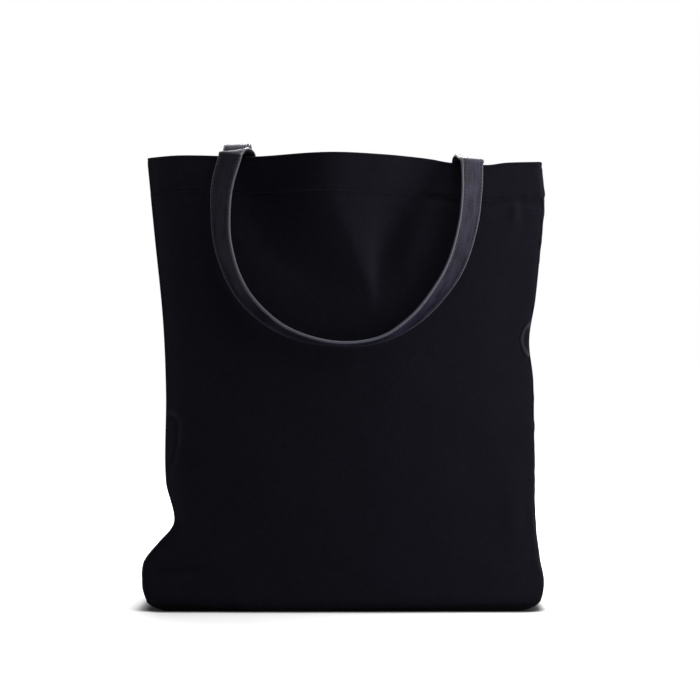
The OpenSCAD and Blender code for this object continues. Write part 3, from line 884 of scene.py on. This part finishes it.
def sewn_end(inside, side):
    x = inside[0]
    k = np.arange(end_steps) / end_steps
    z = inside[2] - sewn_l * (1 - k)
    sides = (wall_y(x - half_s, z, side) + wall_y(x + half_s, z, side)) / 2
    lying = np.maximum(sides, wall_y(x + 0 * z, z, side)) + 2 * canvas_t + ply_t + sewn_gap
    y = mix(lying, inside[1], smooth((k - 0.4) / 0.6))
    return stack(x, y, z), np.tile(sewn_w(x, inside[2], side), (end_steps, 1)), 0 * k - 1


def bend(inside, outside, crossing, first_w, last_w):
    """A half circle over the rim, squashed or on straight legs, as high as its rise."""
    rise = crossing.rise
    k = np.arange(bend_steps + 1) / bend_steps
    r = (inside[1] - outside[1]) / 2
    leg = max(0, rise - r)
    arc = math.pi * r
    run = k * (arc + 2 * leg)
    share = np.clip((run - leg) / arc, 0, 1)
    a = share * math.pi
    up = np.minimum(np.minimum(leg, run), arc + 2 * leg - run) + min(r, rise) * np.sin(a)
    middle = (inside + outside) / 2
    points = stack(mix(inside[0], outside[0], smooth(k)), middle[1] + r * np.cos(a), middle[2] + up)
    turned = smooth((k - 0.5) / 0.5)[:, None]
    w = unit(mix(first_w, last_w, turned) + np.outer(np.sin(math.pi * k), [0, 0, crossing.tilt]))
    return points, w, share


def loop_of(left, right, turns, stations, side):
    first = [left[0], left[2], turns[0]]
    last = [right[0], right[2], turns[1]]
    rim_z = [mix(left[2], right[2], (x - left[0]) / (right[0] - left[0])) for x, _, _ in stations]
    route = [first] + [[x, z - drop, turn] for (x, drop, turn), z in zip(stations, rim_z)] + [last]
    k = np.linspace(0, len(route) - 1, loop_steps + 1)
    x, z, turn = (curve([[i, p[c]] for i, p in enumerate(route)], k) for c in range(3))
    start_y, start_z = np.where(x < 0, left[1], right[1]), np.where(x < 0, left[2], right[2])
    y = mix(start_y, clear_y(x, z, turn, side), smooth((start_z - z) / settle_h))
    points = stack(x, y, z)
    t = unit(np.gradient(points, axis=0))
    angle = np.radians(turn)[:, None]
    inward = unit(stack(-t[:, 2], 0, t[:, 0]))
    w = inward * np.cos(angle) + np.array([0, -1, 0]) * np.sin(angle)
    return points, w, 0 * k + 2


class Strap:
    """A strap's middle line: points, across and outward directions, place, and swing share."""

    def __init__(self, crossings, stations, side):
        (in_l, out_l), (in_r, out_r) = (crossing_points(c, side) for c in crossings)
        loop = loop_of(out_l, out_r, [c.turn for c in crossings], stations, side)
        t = unit(np.gradient(loop[0], axis=0))
        loop_w = square_to(t, loop[1])
        first_w, last_w = sewn_w(in_l[0], in_l[2], side), -sewn_w(in_r[0], in_r[2], side)
        left_end, right_end = sewn_end(in_l, side), sewn_end(in_r, side)
        left_bend = bend(in_l, out_l, crossings[0], first_w, loop_w[0])
        right_bend = bend(in_r, out_r, crossings[1], last_w, loop_w[-1])
        parts = [
            left_end,
            left_bend,
            tuple(a[1:-1] for a in loop),
            tuple(a[::-1] for a in right_bend),
            (right_end[0][::-1], -right_end[1][::-1], right_end[2]),
        ]
        points, w, share = (np.concatenate([part[i] for part in parts]) for i in range(3))
        t = unit(np.gradient(points, axis=0))
        w = square_to(t, w)
        n = np.cross(t, w)
        turn_back = np.array([1, side, 1])
        self.points, self.t, self.w, self.n = (a * turn_back for a in (points, t, w, n))
        self.share, self.place = share, distances(points)

    def at(self, place):
        def read(table):
            if table.ndim == 1:
                return np.interp(place, self.place, table)
            return np.stack([np.interp(place, self.place, table[:, c]) for c in range(3)], -1)

        t, w, n = (unit(read(table)) for table in (self.t, self.w, self.n))
        return read(self.points), t, w, n, read(self.share)


# ---------------------------------------------------------------- straps: pieces

edge_proud, edge_lap = 0.45, 0.85  # how far the edge paint stands out, and laps on the leather


def ply_height(a):
    """Height of a ply's outer surface: crowned, grooved at the stitches, eased at the edges."""
    inside = half_s - np.abs(a)
    crown = 0.22 * (1 - (a / half_s) ** 2)
    groove = -0.32 * hump(inside - stitch_inset, 0.6)
    eased = -1.1 * np.clip(1 - inside / 1.3, 0, 1) ** 2
    return ply_t - 0.22 + crown + groove + eased


def ply_section(way):
    """Outline of one ply: `way` is 1 for the face and -1 for the lining."""
    near = half_s - np.array([0, 0.25, 0.55, 0.95, 1.5, 1.9, 2.2, 2.45, 2.7, 3.0, 3.5, 4.6, 6.5, 9.0])
    a = np.concatenate([-near, [0], near[::-1]])
    top = np.stack([a, way * ply_height(a)], -1)
    return np.concatenate([top, [[half_s, 0], [-half_s, 0]]])


def bead_section(way):
    angle = np.linspace(-math.pi / 2, math.pi / 2, 9)
    reach = edge_lap + edge_proud
    out = np.stack([way * (half_s - edge_lap + reach * np.cos(angle)), (ply_t - 0.15) * np.sin(angle)], -1)
    lap = [[way * (half_s - 1.4), ply_t - 0.3], [way * (half_s - 1.4), 0.3 - ply_t]]
    return np.concatenate([out, lap])


def swept(strap, section):
    """Points, faces, uv and swing share of a section swept along a strap."""
    a, h = section[:, 0], section[:, 1]
    grid = (strap.points[:, None] + strap.w[:, None] * a[None, :, None]
            + strap.n[:, None] * h[None, :, None])
    n, m = grid.shape[:2]
    around = np.linalg.norm(np.diff(section, axis=0, append=section[:1]), axis=1)
    v = np.concatenate([[0], np.cumsum(around)[:-1]])
    faces = [[i * m + k, i * m + (k + 1) % m, (i + 1) * m + (k + 1) % m, (i + 1) * m + k]
             for i in range(n - 1) for k in range(m)]
    faces += [list(range(m)), list(range((n - 1) * m, n * m))]
    uv = np.stack(np.broadcast_arrays(strap.place[:, None], v[None, :]), -1)
    return grid.reshape(-1, 3), faces, uv.reshape(-1, 2), np.repeat(strap.share, m)


def joined(parts):
    """Several (points, faces, uv, share) as one."""
    points, faces, uv, share, first = [], [], [], [], 0
    for p, f, t, w in parts:
        points.append(p)
        faces += [[i + first for i in face] for face in f]
        uv.append(t)
        share.append(w)
        first += len(p)
    return np.concatenate(points), faces, np.concatenate(uv), np.concatenate(share)


def stitches(centre, along, out, share, length, radius):
    """Short rounded threads that dip into the cloth at both ends, as one mesh's data."""
    sides = 6
    x = np.array([-0.5, -0.36, 0, 0.36, 0.5])
    r = np.array([0.5, 0.92, 1, 0.92, 0.5]) * radius
    dip = -1.1 * radius * (2 * x) ** 2
    angle = np.arange(sides) * 2 * math.pi / sides
    across = np.cross(along, out)
    ring = (along[:, None, None] * (x * length)[None, :, None, None]
            + across[:, None, None] * (r[:, None] * np.cos(angle))[None, :, :, None]
            + out[:, None, None] * (dip[:, None] + r[:, None] * np.sin(angle))[None, :, :, None])
    points = (centre[:, None, None] + ring).reshape(-1, 3)
    around = [(k, (k + 1) % sides) for k in range(sides)]
    one = [[i * sides + k, i * sides + j, (i + 1) * sides + j, (i + 1) * sides + k]
           for i in range(len(x) - 1) for k, j in around]
    one += [list(range(sides)), list(range((len(x) - 1) * sides, len(x) * sides))]
    size = len(x) * sides
    faces = [[i + size * s for i in face] for s in range(len(centre)) for face in one]
    uv = np.stack([np.tile(np.repeat(x * length, sides), len(centre)),
                   np.tile(np.tile(angle * radius, len(x)), len(centre))], -1)
    return points, faces, uv, np.repeat(share, size)


def strap_stitches(strap, way):
    """Both rows of stitches on the face (way 1) or the lining (way -1)."""
    rows = []
    for a in (-(half_s - stitch_inset), half_s - stitch_inset):
        count = int((strap.place[-1] - 2 * stitch_margin) / stitch_pitch)
        place = stitch_margin + (np.arange(count) + 0.5) * stitch_pitch
        p, t, w, n, share = strap.at(place)
        centre = p + w * a + n * way * (ply_height(np.array(a)) + 0.15)
        rows.append(stitches(centre, t, n * way, share, 2.5, 0.42))
    return joined(rows)


def across_the_joint(piece, share):
    """Bakes the piece's transform into its mesh while its points hold the share, then puts its own points
    back.
    """
    rest = np.empty(len(piece.data.vertices) * 3, np.float32)
    piece.data.vertices.foreach_get("co", rest)
    laid = np.zeros((len(share), 3), np.float32)
    laid[:, 1] = share
    piece.data.vertices.foreach_set("co", laid.ravel())
    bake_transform(piece)
    piece.data.vertices.foreach_set("co", rest)
    piece.data.update()


def strap_piece(name, parts, material):
    points, faces, uv, share = parts
    piece = make_mesh(name, points, faces, uv, material)
    # over_rim is where the leather's painted highlight falls, over the bend at the rim
    over_rim = piece.data.attributes.new("over_rim", "FLOAT", "POINT")
    over_rim.data.foreach_set("value", np.sin(math.pi * np.clip(share, 0, 1)).astype(np.float32))
    across_the_joint(piece, share)
    return piece


def make_handle(name, crossings, stations, side):
    strap = Strap(crossings, stations, side)
    face = strap_piece(name + "_strap_face", swept(strap, ply_section(1)), leather)
    under = strap_piece(name + "_strap_lining", swept(strap, ply_section(-1)), lining)
    edges = joined([swept(strap, bead_section(1)), swept(strap, bead_section(-1))])
    strap_piece(name + "_painted_edges", edges, edge_paint)
    sewing = joined([strap_stitches(strap, 1), strap_stitches(strap, -1)])
    strap_piece(name + "_stitching", sewing, waxed_thread)
    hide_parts(name + "_face", name + "_left_bend", name + "_right_bend")
    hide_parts(name + "_lining", name + "_left_end", name + "_right_end")


make_handle("front_handle", front_crossings, front_loop, 1)
make_handle("back_handle", back_crossings, back_loop, -1)

# Most of the low light from the right passes the straps, so their shadows stay faint
passing = bpy.data.collections.new("wall_key_blockers")
for cloth in (front_cloth, back_cloth, left_cloth, right_cloth, base_cloth):
    passing.objects.link(cloth)
wall_key.light_linking.blocker_collection = passing

# ---------------------------------------------------------------- hem stitches and bindings


hem_stitch_pitch, hem_margin = 3.4, 3
facing_rise = 2.0  # how much higher the stitches come out on the facing inside


def hem_row(surface, width, inward, relief, outside):
    """One wall's hem stitches, seen outside or on the facing inside."""
    length = width - 2 * hem_margin
    count = int(length / hem_stitch_pitch)
    s = hem_margin + (np.arange(count) + 0.5) * length / count
    z = np.full_like(s, panel_h - hem_d)
    p = surface(s / width, z / panel_h)
    ahead = surface(s / width + 0.002, z / panel_h)
    along = unit(ahead - p)
    inward = np.tile(np.array(inward, float), (count, 1))
    if outside:
        centre = p - inward * (relief(s, z) + 0.35)[:, None]
        out = -inward
    else:
        centre = p + inward * (2 * canvas_t + 0.15) + [0, 0, facing_rise]
        out = inward
    return stitches(centre, along, square_to(along, out), np.zeros(count), 2.3, 0.36)


walls = [
    (front, panel_w, (0, 1, 0), front_relief),
    (back, panel_w, (0, -1, 0), back_relief),
    (left_side, gusset_w, (1, 0, 0), left_relief),
    (right_side, gusset_w, (-1, 0, 0), right_relief),
]
rows = [hem_row(*w, outside) for w in walls for outside in (True, False)]
points, faces, uv, _ = joined(rows)
hem_stitches = make_mesh("hem_stitches", points, faces, uv, thread)
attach(hem_stitches, "root")


class Run:
    """A plain path for a binding tape, read by swept()."""

    def __init__(self, points, w):
        t = unit(np.gradient(points, axis=0))
        self.points, self.w = points, square_to(t, w)
        self.n = np.cross(t, self.w)
        self.share, self.place = np.zeros(len(points)), distances(points)


def tape_section():
    """A folded tape round the seam allowances: flat, with both edges rounded."""
    w, t = binding_w / 2, binding_t / 2
    angle = np.linspace(-math.pi / 2, math.pi / 2, 7)
    right = np.stack([w - t + t * np.cos(angle), t * np.sin(angle)], -1)
    return np.concatenate([right, -right])


def binding(name, runs):
    """The tape along one or more seams, standing for the node of that name."""
    points, faces, uv, _ = joined([swept(Run(*run), tape_section()) for run in runs])
    piece = make_mesh(name + "_tape", points, faces, uv, tape)
    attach(piece, "root")
    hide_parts(name)


def side_binding(name, surface, f, inward):
    v = np.linspace(0.05, hem_v - 0.012, 130)
    middle = surface(f + 0 * v, v)
    aside = surface(f + 0.02 + 0 * v, v)
    off = canvas_t + binding_t / 2 + 0.9
    wave = 0.35 * noise(v * 26, 0 * v, 91)
    binding(name, [(middle + np.array(inward, float) * (off + wave[:, None]), unit(aside - middle))])


near = (binding_w / 2 + 2.2) / gusset_w
side_binding("front_left_seam_binding", left_side, 1 - near, (1, 0, 0))
side_binding("back_left_seam_binding", left_side, near, (1, 0, 0))
side_binding("front_right_seam_binding", right_side, near, (-1, 0, 0))
side_binding("back_right_seam_binding", right_side, 1 - near, (-1, 0, 0))


def base_run(w):
    """A tape lying on the base, w of the way from its front seam to its back one."""
    end = 14 / panel_w
    u = np.linspace(end, 1 - end, 150)
    middle = mix(front(u, 0 * u), back(u, 0 * u), w)
    middle[:, 2] = canvas_t + binding_t / 2 + 1.4 + 0.3 * noise(u * 30, 0 * u, 95)
    return middle, np.tile([0.0, 1, 0], (len(u), 1))


in_from_seam = (binding_w / 2 + 4.5) / gusset_w
binding("base_seam_bindings", [base_run(in_from_seam), base_run(1 - in_from_seam)])
